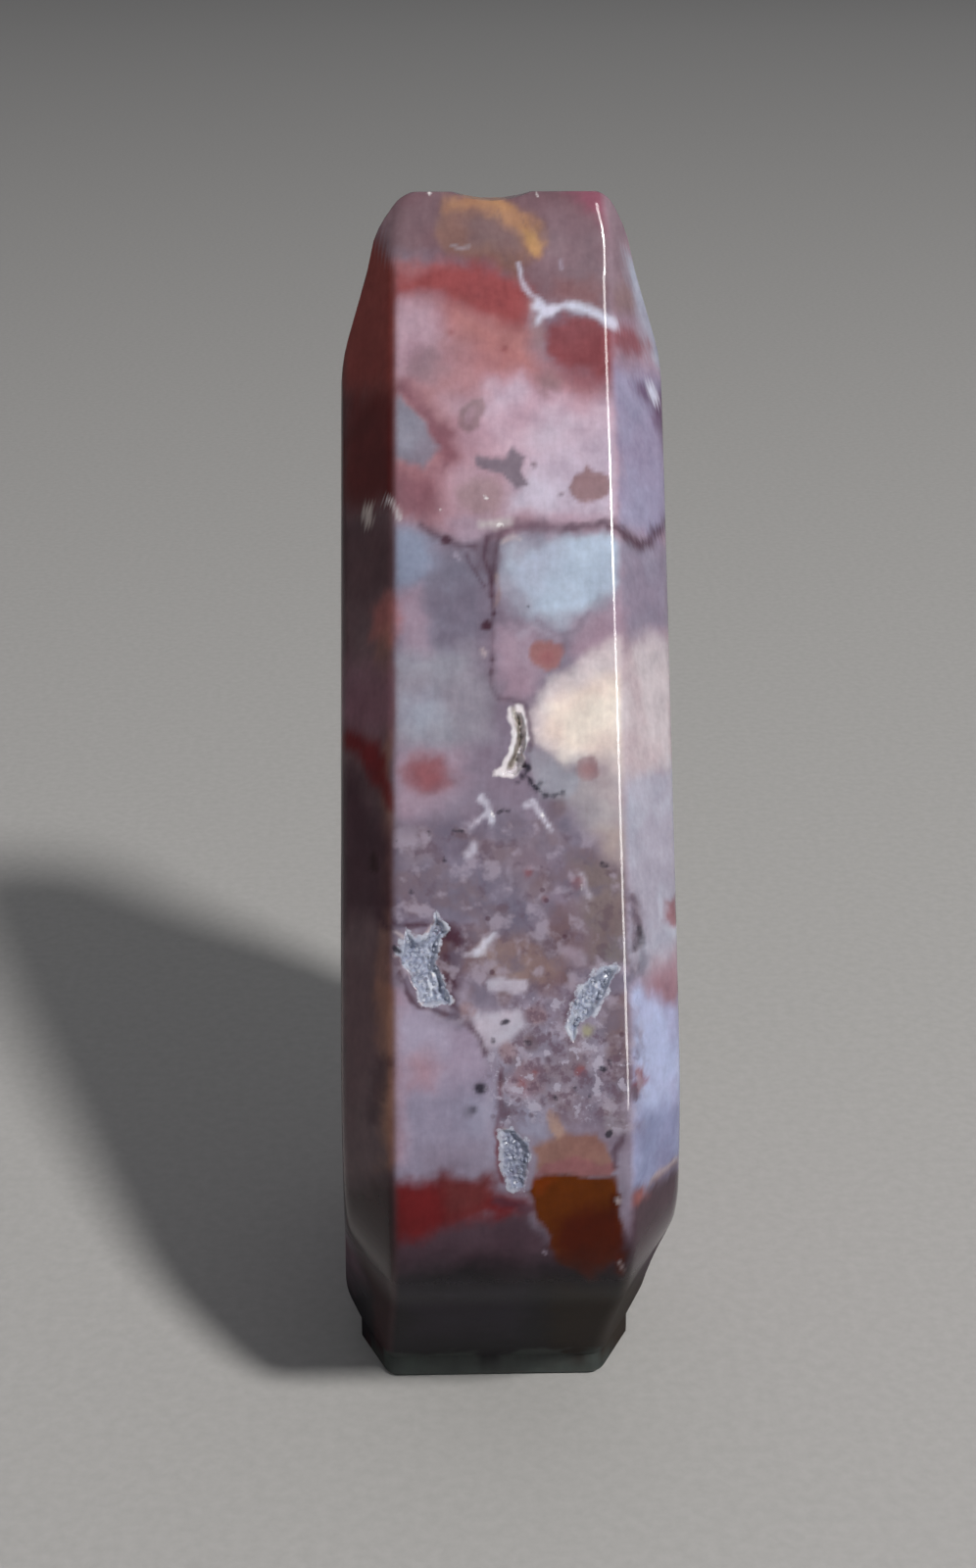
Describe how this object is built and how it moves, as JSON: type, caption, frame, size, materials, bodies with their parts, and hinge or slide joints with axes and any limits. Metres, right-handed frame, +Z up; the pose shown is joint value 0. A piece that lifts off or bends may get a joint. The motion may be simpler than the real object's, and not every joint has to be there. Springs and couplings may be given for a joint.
{
  "type": "polished stone flame carving",
  "caption": "Free-standing flame of polished ocean jasper with a long bevel on each side, crystal-lined pockets and a flat base.",
  "frame": {"origin": "middle of the bounding box at the underside of the base", "axes": "+Z up to the tip, X across the thickness, -Y towards the narrow front edge with the pockets"},
  "size_m": [0.028, 0.0592, 0.1],
  "materials": {
    "polished_jasper": "polished"
  },
  "bodies": {
    "root": {"flame": "polished_jasper"}
  },
  "joints": []
}
